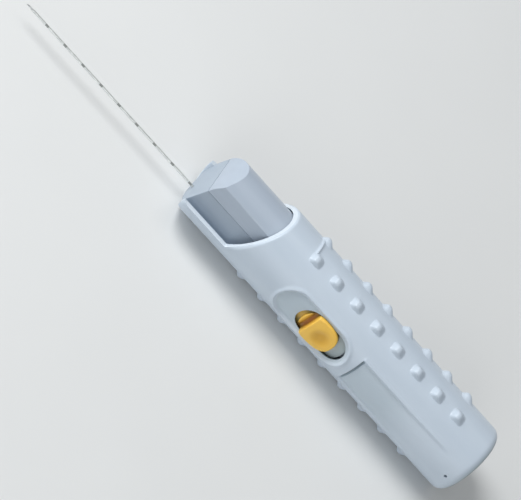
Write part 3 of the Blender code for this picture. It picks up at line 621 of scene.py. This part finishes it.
def buildHousing(finish, rimHighlightFinish):
    sheet = Sheet()
    columns = columnTurns()
    count = len(columns)
    hoodShares = (0.0, 0.03, 0.07, 0.12, 0.2, 0.32, 0.46, 0.6, 0.74, 0.87, 0.97, 1.0)
    joinShares = (0.0, 0.065, 0.1, 0.14, 0.2, 0.35, 0.5, 0.65, 0.8, 0.9, 1.0)
    corner = housing["rim"] - housing["slope"] * housing["hoodDepth"]
    bore = housing["bore"]

    def degrees(turn):
        return math.degrees(signedTurn(turn + math.radians(housing["cutAngle"])))

    def pair(station, innerStation, outerTurn, innerTurn, drop=0.0):
        angle = degrees(outerTurn)
        radius = surfaceRadius(station, angle) - drop
        return sheet.point(at(station, angle, radius), at(innerStation, degrees(innerTurn), bore))

    def lipDrop(run, turn):
        # The rim's outer edge is well rounded, down to the hood's corners.
        share = max(0.0, 1.0 - run / housing["lipRun"])
        drop = housing["lipDrop"] * (1.0 - math.sqrt(1.0 - share * share))
        fromCorner = math.acos(-housing["hoodDepth"] / housing["frontRadius"]) - abs(turn)
        return drop * smooth(*housing["lipFade"], fromCorner)

    middle = count // 2
    hoodColumns = [j for j, column in enumerate(columns) if column[2]]
    order = [j for j in hoodColumns if j > middle] + [j for j in hoodColumns if j < middle]
    hood = []
    for share in hoodShares[:-1]:
        row = {}
        for j in order:
            outerTurn, innerTurn, _ = columns[j]
            start = chinStation(outerTurn)
            station = start + (corner - start) * share
            row[j] = pair(station, station, outerTurn, innerTurn)
        hood.append(row)

    rows = []
    for share in joinShares:
        row = []
        for outerTurn, innerTurn, inHood in columns:
            start = corner if inHood else rimStation(housing["frontRadius"], outerTurn)
            innerStart = corner if inHood else rimStation(bore, innerTurn)
            station = start + (housing["join"] - start) * share
            innerStation = innerStart + (housing["join"] - innerStart) * share
            drop = 0.0 if inHood else lipDrop(station - start, outerTurn)
            row.append(pair(station, innerStation, outerTurn, innerTurn, drop))
        rows.append(row)
    lines = stationLines()
    for station in lines[1:]:
        rows.append([pair(station, station, outer, inner) for outer, inner, _ in columns])

    fillet = housing["rearFillet"]
    centreRadius = housing["rearRadius"] - fillet
    innerRear = housing["length"] - housing["rearWall"]
    endRows = []
    for share in spread(0.0, 1.0, 8)[1:]:
        turn = share * math.pi / 2
        station = housing["length"] - fillet + fillet * math.sin(turn)
        outer = (station, centreRadius + fillet * math.cos(turn))
        inner = (lines[-1] + (innerRear - lines[-1]) * share, bore)
        endRows.append((outer, inner))
    bossPath = (
        (innerRear, housing["rearRing"]),
        (innerRear, housing["bossRadius"]),
        (innerRear - housing["bossLength"], housing["bossRadius"]),
        (innerRear - housing["bossLength"], housing["bossBore"]),
        (innerRear, housing["bossBore"]),
        (innerRear, housing["centreRing"]),
    )
    for i, inner in enumerate(bossPath):
        share = 1.0 - (i + 1) / (len(bossPath) + 1)
        endRows.append(((housing["length"], centreRadius * share), inner))
    for outer, inner in endRows:
        row = []
        for outerTurn, innerTurn, _ in columns:
            place = at(outer[0], degrees(outerTurn), outer[1])
            row.append(sheet.point(place, at(inner[0], degrees(innerTurn), inner[1])))
        rows.append(row)
    centre = sheet.point(at(housing["length"], 0.0, 0.0), at(innerRear, 0.0, 0.0))

    def joinRows(low, high, columnsUsed, skip=()):
        for first, second in zip(columnsUsed, columnsUsed[1:]):
            if first not in skip:
                sheet.faces.append((low[first], low[second], high[second], high[first]))

    for low, high in zip(hood, hood[1:]):
        joinRows(low, high, order)
    joinRows(hood[-1], rows[0], order)

    offset = len(joinShares) - 1
    gridFront, gridRear, gridTurn = slot["gridFront"], slot["gridRear"], slot["gridTurn"]
    holeRows = [offset + i for i, station in enumerate(lines) if gridFront < station < gridRear]
    holeColumns = [j for j, c in enumerate(columns) if abs(degrees(c[0]) - trigger["angle"]) < gridTurn]
    around = list(range(count)) + [0]
    for i, (low, high) in enumerate(zip(rows, rows[1:])):
        inside = holeRows[0] <= i < holeRows[-1]
        joinRows(low, high, around, holeColumns[:-1] if inside else ())
    for first, second in zip(around, around[1:]):
        sheet.faces.append((rows[-1][first], rows[-1][second], centre))
    patchSlot(sheet, rows, holeRows, holeColumns, lines, offset, columns, degrees)
    return sheet.solid("housingShell", finish, rimHighlightFinish)


def oblongPoint(station, across, front, length, width):
    # The nearest place on an oblong's outline to a point outside it.
    half = length / 2 - width / 2
    middle = front + length / 2
    spine = max(-half, min(half, station - middle))
    away = Vector((station - middle - spine, across))
    away.normalize()
    return middle + spine + away.x * width / 2, away.y * width / 2


def patchSlot(sheet, rows, holeRows, holeColumns, lines, offset, columns, degrees):
    # Rings from the grid's rectangular hole, over the dish's edge, to the slot.
    low, high = holeRows[0], holeRows[-1]
    first, last = holeColumns[0], holeColumns[-1]
    ring = [(low, j) for j in range(first, last)]
    ring += [(i, last) for i in range(low, high)]
    ring += [(high, j) for j in range(last, first, -1)]
    ring += [(i, first) for i in range(high, low, -1)]
    corners = [(lines[i - offset], arcAcross(degrees(columns[j][0]))) for i, j in ring]
    previous = [rows[i][j] for i, j in ring]
    past = dish["past"]
    outline = (dish["front"] - past, dish["rear"] - dish["front"] + 2 * past, dish["width"] + 2 * past)
    edge = [oblongPoint(a, s, *outline) for a, s in corners]
    inner = [oblongPoint(a, s, slot["front"], slot["length"], slot["width"]) for a, s in corners]
    stages = [(corners, edge, share, 0.0) for share in (0.15, 0.3, 0.42, 0.53, 0.63, 0.72, 0.81, 0.9, 1.0)]
    stages += [(edge, inner, share, share) for share in (0.05, 0.1, 0.16, 0.23, 0.31, 0.4, 0.5, 0.64, 1.0)]
    for start, end, share, upright in stages:
        current = []
        for (a0, s0), (a1, s1) in zip(start, end):
            station = a0 + (a1 - a0) * share
            turn = (s0 + (s1 - s0) * share) / housing["frontRadius"]
            angle = trigger["angle"] + math.degrees(turn)
            # The slot's side is upright, so its lining spreads a little further round the bore.
            wall = math.asin(housing["frontRadius"] * math.sin(turn) / housing["bore"])
            lining = angle + math.degrees(wall - turn) * upright
            place = at(station, angle, surfaceRadius(station, angle))
            current.append(sheet.point(place, at(station, lining, housing["bore"])))
        for k in range(len(ring)):
            n = (k + 1) % len(ring)
            sheet.faces.append((previous[k], previous[n], current[n], current[k]))
        previous = current


def drillIndicatorHole(shell):
    bm = bmesh.new()
    radius, depth = hole["radius"] * mm, hole["depth"] * mm
    bmesh.ops.create_cone(bm, cap_ends=True, segments=24, radius1=radius, radius2=radius, depth=depth)
    angle = trigger["angle"] + hole["turn"]
    turn = Matrix.Rotation(-math.radians(angle), 4, "X")
    station = housing["length"] - hole["setback"]
    bm.transform(Matrix.Translation(at(station, angle, housing["frontRadius"])) @ turn)
    carve(shell, bm)


def carve(piece, bm):
    # Cuts a closed shape out of a piece.
    tool = newObject("tool", bm, piece.data.materials[0])
    cutter = piece.modifiers.new("cut", "BOOLEAN")
    cutter.operation = "DIFFERENCE"
    cutter.object = tool
    bakeModifiers(piece)
    bpy.data.objects.remove(tool)


def bakeModifiers(piece, sharpAngle=40.0):
    graph = bpy.context.evaluated_depsgraph_get()
    mesh = bpy.data.meshes.new_from_object(piece.evaluated_get(graph), depsgraph=graph)
    piece.modifiers.clear()
    old = piece.data
    piece.data = mesh
    bpy.data.meshes.remove(old)
    mesh.name = piece.name
    if sharpAngle:
        mesh.shade_smooth()
        mesh.set_sharp_from_angle(angle=math.radians(sharpAngle))


def bumpShape(finish, steep):
    # One grip bump on the barrel's surface, straight up at station 0: a slope in front, a longer
    # one behind, a steep side towards `steep` and a long soft one opposite.
    half = grip["length"] / 2
    bm = bmesh.new()
    grid = []
    turns = spread(-1.0, 1.0, 26)
    for station in spread(-half, half, 28):
        row = []
        climb = min((station + half) / grip["frontRun"], (half - station) / grip["rearRun"])
        for across in turns:
            side = 1.0 - smooth(0.5, 1.0, across * steep) - smooth(0.0, 1.0, -across * steep)
            radius = housing["frontRadius"] - grip["sunk"] + grip["rise"] * smooth(0.0, 1.0, climb) * side
            turn = math.radians(across * grip["span"] / 2)
            place = (station * mm, radius * mm * math.sin(turn), radius * mm * math.cos(turn))
            row.append(bm.verts.new(place))
        grid.append(row)
    for low, high in zip(grid, grid[1:]):
        for j in range(len(turns) - 1):
            bm.faces.new((low[j], high[j], high[j + 1], low[j + 1]))
    border = (
        grid[0][:-1]
        + [row[-1] for row in grid[:-1]]
        + grid[-1][:0:-1]
        + [row[0] for row in grid[:0:-1]]
    )
    sunk = [bm.verts.new(v.co - Vector((0.0, 0.0, grip["skirt"] * mm))) for v in border]
    for i in range(len(border)):
        j = (i + 1) % len(border)
        bm.faces.new((border[i], border[j], sunk[j], sunk[i]))
    bm.faces.new(sunk)
    bmesh.ops.recalc_face_normals(bm, faces=bm.faces)
    return newObject("bumpShape", bm, finish)


def gripTree(shapes, finish):
    # Rows of bumps: a line of points per row, the shape on each point, the row turned into place.
    tree = bpy.data.node_groups.new("gripRows", "GeometryNodeTree")
    interface = tree.interface
    interface.new_socket("Geometry", in_out="INPUT", socket_type="NodeSocketGeometry")
    sizes = (("Pitch", "NodeSocketFloat"), ("First", "NodeSocketFloat"), ("Count", "NodeSocketInt"))
    for name, kind in sizes:
        interface.new_socket(name, in_out="INPUT", socket_type=kind)
    interface.new_socket("Geometry", in_out="OUTPUT", socket_type="NodeSocketGeometry")
    nodes, links = tree.nodes, tree.links
    given = nodes.new("NodeGroupInput")
    result = nodes.new("NodeGroupOutput")
    gather = nodes.new("GeometryNodeJoinGeometry")
    step = nodes.new("ShaderNodeCombineXYZ")
    links.new(given.outputs["Pitch"], step.inputs["X"])
    for row, steep in grip["rows"]:
        source = nodes.new("GeometryNodeObjectInfo")
        source.inputs["Object"].default_value = shapes[steep]
        extra = 1 if row == grip["rows"][-1][0] else 0  # one more bump in front, below the trigger
        more = nodes.new("ShaderNodeMath")
        more.inputs[1].default_value = extra
        links.new(given.outputs["Count"], more.inputs[0])
        begin = nodes.new("ShaderNodeMath")
        begin.operation = "MULTIPLY_ADD"
        begin.inputs[1].default_value = -extra
        links.new(given.outputs["Pitch"], begin.inputs[0])
        links.new(given.outputs["First"], begin.inputs[2])
        start = nodes.new("ShaderNodeCombineXYZ")
        links.new(begin.outputs[0], start.inputs["X"])
        line = nodes.new("GeometryNodeMeshLine")
        links.new(more.outputs[0], line.inputs["Count"])
        links.new(start.outputs[0], line.inputs["Start Location"])
        links.new(step.outputs[0], line.inputs["Offset"])
        place = nodes.new("GeometryNodeInstanceOnPoints")
        links.new(line.outputs[0], place.inputs["Points"])
        links.new(source.outputs["Geometry"], place.inputs["Instance"])
        turn = nodes.new("GeometryNodeTransform")
        turn.inputs["Rotation"].default_value = (-math.radians(row), 0.0, 0.0)
        turn.inputs["Translation"].default_value = (frontX, 0.0, axisZ)
        links.new(place.outputs[0], turn.inputs["Geometry"])
        links.new(turn.outputs[0], gather.inputs[0])
    real = nodes.new("GeometryNodeRealizeInstances")
    paint = nodes.new("GeometryNodeSetMaterial")
    paint.inputs["Material"].default_value = finish
    links.new(gather.outputs[0], real.inputs[0])
    links.new(real.outputs[0], paint.inputs["Geometry"])
    links.new(paint.outputs[0], result.inputs[0])
    return tree


def buildGrip(finish):
    shapes = {steep: bumpShape(finish, steep) for steep in (-1.0, 1.0)}
    tree = gripTree(shapes, finish)
    holder = newObject("gripBumps", bmesh.new(), finish)
    modifier = holder.modifiers.new("rows", "NODES")
    modifier.node_group = tree
    sizes = {"Pitch": grip["pitch"] * mm, "First": grip["first"] * mm, "Count": grip["count"]}
    for item in tree.interface.items_tree:
        if item.in_out == "INPUT" and item.name in sizes:
            modifier[item.identifier] = sizes[item.name]
    bakeModifiers(holder)
    for shape in shapes.values():
        bpy.data.objects.remove(shape)
    return holder


def cutSide(co):
    # Millimetres across the open cut, less than 0 on the trigger's side.
    return (co.y * math.cos(cutTurn) - (co.z - axisZ) * math.sin(cutTurn)) / mm


def cutHeight(co):
    return (co.y * math.sin(cutTurn) + (co.z - axisZ) * math.cos(cutTurn)) / mm


def leanFace(bm):
    # The solid's face leans as one plane; here it curves back towards its top, as moulded.
    low = (core["seenFront"] - core["seenFace"]) / core["seenLean"]
    for height in [low] + spread(-7.2, 7.2, 8) + [9.1, 10.9, 12.6]:  # where the face may bend
        parts = list(bm.verts) + list(bm.edges) + list(bm.faces)
        place = Vector((0.0, 0.0, axisZ)) + cutUp * height * mm
        bmesh.ops.bisect_plane(bm, geom=parts, dist=0.001 * mm, plane_co=place, plane_no=cutUp)
    for vert in bm.verts:
        height = cutHeight(vert.co)
        flat = max(core["front"], core["face"] + core["lean"] * height)
        if stationOf(vert.co.x) < flat + core["wall"] + 0.1:
            bent = core["curve"] * max(0.0, height - core["bend"]) ** 2
            curved = max(core["seenFront"], core["seenFace"] + core["seenLean"] * height + bent)
            vert.co.x += (curved - flat) * mm


def roundFarSide(bm, side):
    # The solid's flat on the far side, at `side`, becomes part of the round.
    radius = core["radius"]
    for vert in bm.verts:
        height, reach = cutHeight(vert.co), cutSide(vert.co)
        onFlat = reach > side - 0.03 and math.hypot(height, side) < radius
        if onFlat and stationOf(vert.co.x) < core["shoulder"]:
            vert.co += cutAcross * (math.sqrt(radius * radius - height * height) - reach) * mm


def flatBlock(flat):
    # What is cut away beside the core's flat, on the trigger's side: a block larger than the core.
    bm = bmesh.new()
    bmesh.ops.create_cube(bm, size=1.0)
    for vert in bm.verts:
        station = -4.0 if vert.co.x < 0 else core["shoulder"]
        across = -20.0 if vert.co.y < 0 else -flat
        height = -20.0 if vert.co.z < 0 else 20.0
        vert.co = at(station, 0.0, 0.0) + cutAcross * across * mm + cutUp * height * mm
    return bm


def coreFront(co):
    # On the outer edges of the core's front, clear of the needle's hole.
    radius = math.hypot(co.y, co.z - axisZ) / mm
    clear = math.hypot(cutSide(co), cutHeight(co) + core["needleDrop"]) > core["holeReach"]
    return stationOf(co.x) < core["frontEnd"] and radius > core["insideRadius"] and clear


def isRounded(edge):
    # Whether the moulding rounds this edge: those of the core's front, but not the seam's.
    if len(edge.link_faces) != 2 or edge.calc_face_angle() <= math.radians(core["bevelAngle"]):
        return False
    onSeam = all(abs(cutHeight(vert.co) - core["split"]) < core["seamReach"] for vert in edge.verts)
    return all(coreFront(vert.co) for vert in edge.verts) and not onSeam


def seenCore(node, finish, side, flat):
    # A copy of a core half with its curved face, its deeper flat and rounded outer edges.
    bm = bmesh.new()
    bm.from_mesh(frame["nodes"][node].data)
    bmesh.ops.remove_doubles(bm, verts=bm.verts, dist=core["merge"] * mm)
    leanFace(bm)
    piece = newObject(node.replace("_", "") + "Shell", bm, finish)
    carve(piece, flatBlock(flat))
    bm = bmesh.new()
    bm.from_mesh(piece.data)
    bmesh.ops.remove_doubles(bm, verts=bm.verts, dist=core["merge"] * mm)
    roundFarSide(bm, side)
    bmesh.ops.dissolve_limit(bm, angle_limit=math.radians(0.4), verts=bm.verts, edges=bm.edges)
    bevelEdges(bm, [edge for edge in bm.edges if isRounded(edge)], core["edge"], 4)
    bm.to_mesh(piece.data)
    bm.free()
    piece.data.shade_smooth()
    piece.data.set_sharp_from_angle(angle=math.radians(core["sharpAngle"]))
    normals = piece.modifiers.new("normals", "WEIGHTED_NORMAL")
    normals.keep_sharp = True
    bakeModifiers(piece, None)
    return piece


def triggerHeight(station, side):
    # Radius of the button's top: a front lip, a low pit, a crest across it and a round thumb pad.
    share = (station - trigger["front"]) / trigger["length"]
    lip = trigger["lipRise"] * (1.0 - smooth(0.02, 0.15, share))
    climb = (1.0 - trigger["pitLevel"]) * smooth(0.2, 0.26, share)
    fall = trigger["rearFall"] * max(0.0, share - 0.4) / 0.6
    level = trigger["pitLevel"] + lip + climb - fall
    radius = housing["frontRadius"] - trigger["step"] * (1.0 - level)
    padStation = trigger["front"] + trigger["padShare"] * trigger["length"]
    off = math.hypot(station - padStation, side) / trigger["padRadius"]
    crown = trigger["crown"] * min(1.0, (2.0 * side / trigger["width"]) ** 2)
    return radius + crown - trigger["padDepth"] * (1.0 - smooth(0.25, 1.0, off))


def triggerOutline(inset, count=160):
    # A half-round front and rounded rear corners, as a superellipse of two powers.
    front, rear = trigger["front"] + inset, trigger["front"] + trigger["length"] - inset
    half = trigger["width"] / 2 - inset
    middle = front + (rear - front) * trigger["middleShare"]
    points = []
    for i in range(count):
        turn = math.tau * (i + 0.5) / count
        ahead, side = math.cos(turn), math.sin(turn)
        power = trigger["frontPower"] if ahead < 0 else trigger["rearPower"]
        reach = (abs(ahead) ** power + abs(side) ** power) ** (-1.0 / power)
        length = middle - front if ahead < 0 else rear - middle
        points.append((middle + ahead * reach * length, side * reach * half))
    return points


def buildTrigger(finish):
    bm = bmesh.new()
    turn = math.radians(trigger["angle"])
    outward = Vector((0.0, math.sin(turn), math.cos(turn)))
    sideways = Vector((0.0, math.cos(turn), -math.sin(turn)))

    def place(station, side, rise):
        return at(station, 0.0, 0.0) + (sideways * side + outward * rise) * mm

    def onTop(station, side, drop=0.0):
        radius = triggerHeight(station, side) - drop
        return place(station, side, math.sqrt(radius * radius - side * side))

    edge = trigger["edge"]
    rings = [[place(a, s, trigger["foot"]) for a, s in triggerOutline(0.0)]]
    for share in spread(0.0, 1.0, 5):
        bend = share * math.pi / 2
        inset, drop = edge * (1.0 - math.cos(bend)), edge * (1.0 - math.sin(bend))
        rings.append([onTop(a, s, drop) for a, s in triggerOutline(inset)])
    half = trigger["width"] / 2
    for inset in spread(edge, half * 0.985, 26)[1:]:
        rings.append([onTop(a, s) for a, s in triggerOutline(inset)])
    loops = [[bm.verts.new(p) for p in ring] for ring in rings]
    for low, high in zip(loops, loops[1:]):
        for i in range(len(low)):
            j = (i + 1) % len(low)
            bm.faces.new((low[i], low[j], high[j], high[i]))
    bm.faces.new(loops[0])
    bm.faces.new(loops[-1])
    addPlate(bm)
    bmesh.ops.recalc_face_normals(bm, faces=bm.faces)
    return newObject("triggerButton", bm, finish, 50.0)


def curvedPlate(bm, start, end, halfTurn, drop=0.0, bow=0.0):
    # A thin plate that follows the barrel's inside, between two stations, its rear edge bowed.
    steps = 16
    grid = []
    for station, back in ((start, 0.0), (end, bow)):
        for radius in (trigger["plateLow"] - drop, trigger["plateHigh"] - drop):
            row = []
            for t in spread(-halfTurn, halfTurn, steps):
                bowed = station - back * (t / halfTurn) ** 2
                row.append(bm.verts.new(at(bowed, trigger["angle"] + t, radius)))
            grid.append(row)
    frontLow, frontHigh, rearLow, rearHigh = grid
    around = (frontLow, frontHigh, rearHigh, rearLow)
    for first, second in zip(around, around[1:] + around[:1]):
        for i in range(steps):
            bm.faces.new((first[i], first[i + 1], second[i + 1], second[i]))
    for i in (0, steps):
        bm.faces.new([row[i] for row in around])


def addPlate(bm):
    # The lipped plate that keeps the button in its slot, a separate shell sunk into its foot.
    halfTurn = math.degrees(math.asin((trigger["width"] / 2 + trigger["lip"]) / housing["bore"]))
    rear = trigger["front"] + trigger["length"] - trigger["plateSetback"]
    curvedPlate(bm, trigger["front"] - trigger["plateAhead"], rear, halfTurn)


def buildSlideTail(finish):
    # The slide's pale tail, which closes the slot behind the button.
    bm = bmesh.new()
    start = trigger["front"] + trigger["length"] - trigger["plateSetback"] + trigger["tailGap"]
    end = trigger["front"] + trigger["length"] + trigger["tail"]
    curvedPlate(bm, start, end, trigger["tailHalfTurn"], trigger["tailDrop"], trigger["tailBow"])
    bmesh.ops.recalc_face_normals(bm, faces=bm.faces)
    edges = [e for e in bm.edges if e.calc_face_angle() > math.radians(50)]
    bevelEdges(bm, edges, trigger["tailEdge"], 2)
    return newObject("slideTail", bm, finish)


def roundTube(name, node, finish):
    # The outer needle from its CAD box: a fine-faceted tube with a slanted, honed tip.
    low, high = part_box(node)
    centreY, centreZ = (low.y + high.y) / 2, (low.z + high.z) / 2
    radius = (high.y - low.y) / 2
    bore = needle["bore"] * mm
    bm = bmesh.new()

    def ring(station, r, slant):
        verts = []
        for i in range(needle["facets"]):
            turn = math.tau * i / needle["facets"]
            side, height = r * math.sin(turn), r * math.cos(turn)
            shift = slant * needle["tipRun"] * mm * (height / radius * 0.5 + 0.5)
            y = centreY + side * math.cos(cutTurn) + height * math.sin(cutTurn)
            z = centreZ - side * math.sin(cutTurn) + height * math.cos(cutTurn)
            verts.append(bm.verts.new((station + shift, y, z)))
        return verts

    behindTip = low.x + needle["tipRun"] * 2 * mm
    path = (
        (low.x, radius * needle["honedShare"], 1.0),
        (low.x + needle["honedRun"] * mm, radius, 1.0),
        (behindTip, radius, 0.0),
        (high.x, radius, 0.0),
        (high.x, bore, 0.0),
        (behindTip, bore, 0.0),
        (low.x, bore, 1.0),
    )
    loops = [ring(*step) for step in path]
    for first, second in zip(loops, loops[1:] + loops[:1]):
        for i in range(needle["facets"]):
            j = (i + 1) % needle["facets"]
            bm.faces.new((first[i], first[j], second[j], second[i]))
    bmesh.ops.recalc_face_normals(bm, faces=bm.faces)
    return newObject(name, bm, finish, 35.0)


def paint(node, finish):
    mesh = frame["nodes"][node].data
    mesh.materials.clear()
    mesh.materials.append(finish)


# Finishes
# The housing's last two colours are painted shade, for the recesses and for the bore and grooves.
shellPlastic = housingPlastic(
    "shellPlastic", rgb(200, 212, 224), rgb(192, 205, 218), rgb(172, 188, 195), rgb(112, 128, 132)
)
# A lighter copy of the housing's plastic for its front edges: painted highlight.
rimPlastic = mouldedPlastic("rimPlastic", rgb(216, 226, 235), rgb(208, 219, 229), 0.38)
# The core body's plastic: the cover's plastic made darker, as painted shade.
corePlastic = mouldedPlastic("corePlastic", rgb(167, 180, 193), rgb(160, 173, 187), 0.38)
coverPlastic = mouldedPlastic("coverPlastic", rgb(176, 188, 202), rgb(169, 181, 195), 0.32)
naturalPlastic = mouldedPlastic("naturalPlastic", rgb(232, 232, 226), rgb(222, 222, 216), 0.45)
tailPlastic = mouldedPlastic("tailPlastic", rgb(176, 188, 190), rgb(164, 176, 180), 0.45)
amber = amberPlastic("amberPlastic")
markedSteel = needleSteel("markedSteel")
wireSteel = brightSteel("wireSteel")
print("materials made")

shell = buildHousing(shellPlastic, rimPlastic)
drillIndicatorHole(shell)
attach(shell, "housing")
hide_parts("outer_housing")
print("housing shell:", len(shell.data.polygons), "faces")

bumps = buildGrip(shellPlastic)
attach(bumps, "housing")
print("grip bumps:", len(bumps.data.polygons), "faces")

coreBody = seenCore("core_body", corePlastic, core["bodySide"], core["bodyFlat"])
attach(coreBody, "core")
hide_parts("core_body")
coreCover = seenCore("core_cover", coverPlastic, core["coverSide"], core["coverFlat"])
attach(coreCover, "core")
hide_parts("core_cover")
print("core halves:", len(coreBody.data.polygons), len(coreCover.data.polygons), "faces")

button = buildTrigger(amber)
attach(button, "trigger")
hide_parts("trigger_button")
slideTail = buildSlideTail(tailPlastic)
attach(slideTail, "trigger")
print("trigger and its slide made")

cannulaTube = roundTube("cannulaTube", "cannula", markedSteel)
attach(cannulaTube, "cannula_slider")
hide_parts("cannula")
paint("stylet", wireSteel)
for node in frame["nodes"]:
    if node in ("cam_sleeve", "core_end_cap", "cannula_carriage", "stylet_carriage"):
        paint(node, naturalPlastic)
    elif node not in ("outer_housing", "core_body", "core_cover", "trigger_button", "cannula", "stylet"):
        paint(node, wireSteel)
print("needle and inner pieces finished")


def studioFloor():
    g = Graph("paleFloor")
    tone = g.noise(60.0, 2.0)
    material = g.finish(colour=g.mixed(tone, rgb(222, 224, 224), rgb(226, 228, 228)), roughness=0.75)
    bm = bmesh.new()
    bmesh.ops.create_grid(bm, x_segments=2, y_segments=2, size=3.0)
    floor = newObject("studioFloor", bm, material)


def areaLight(name, place, aim, size, power):
    lamp = bpy.data.lights.new(name, "AREA")
    lamp.shape = "DISK"
    lamp.size = size
    lamp.energy = power
    made = bpy.data.objects.new(name, lamp)
    bpy.context.scene.collection.objects.link(made)
    made.location = place
    made.rotation_euler = (Vector(aim) - Vector(place)).to_track_quat("-Z", "Y").to_euler()


def studio():
    studioFloor()
    areaLight("keyLight", (-0.8, 0.1, 1.0), (0.0, 0.0, 0.0), 0.7, 10.8)
    areaLight("frontLight", (-1.3, -0.1, 0.35), (0.0, 0.0, 0.0), 1.2, 7.2)
    areaLight("sideLight", (0.1, -1.2, 0.6), (0.03, 0.0, 0.0), 0.9, 4.4)
    areaLight("topLight", (0.1, 0.3, 1.3), (0.03, 0.0, 0.0), 0.9, 1.8)
    world = bpy.data.worlds.new("studioWorld")
    bpy.context.scene.world = world
    world.use_nodes = True
    world.node_tree.nodes["Background"].inputs["Color"].default_value = (0.9, 0.93, 0.96, 1.0)
    world.node_tree.nodes["Background"].inputs["Strength"].default_value = 0.24
    bpy.context.scene.view_settings.view_transform = "Standard"


def placeCamera():
    # The instrument lies across the picture: the camera is rolled and looks a little at its front.
    view = {
        "distance": 1.33,
        "field": 0.19464,
        "along": 34.4,
        "above": -4.46,
        "tilt": 11.5,
        "facing": 41.0,
        "roll": 47.86,
    }
    tilt, facing = math.radians(view["tilt"]), math.radians(view["facing"])
    near = Vector((0.0, -math.sin(facing), math.cos(facing)))
    axis = Vector((1.0, 0.0, 0.0))
    toCamera = (near * math.cos(tilt) - axis * math.sin(tilt)).normalized()
    along = (axis * math.cos(tilt) + near * math.sin(tilt)).normalized()
    above = toCamera.cross(along)
    roll = math.radians(view["roll"])
    right = along * math.cos(roll) + above * math.sin(roll)
    up = toCamera.cross(right)
    target = Vector((frontX, 0.0, axisZ)) + (along * view["along"] + above * view["above"]) * mm
    data = bpy.data.cameras.new("camera")
    data.sensor_width = 36.0
    data.lens = 36.0 * view["distance"] / view["field"]
    camera = bpy.data.objects.new("camera", data)
    bpy.context.scene.collection.objects.link(camera)
    turn = Matrix((right, up, toCamera)).transposed()
    camera.matrix_world = Matrix.Translation(target + toCamera * view["distance"]) @ turn.to_4x4()
    bpy.context.scene.camera = camera


studio()
placeCamera()
print("studio and camera placed")
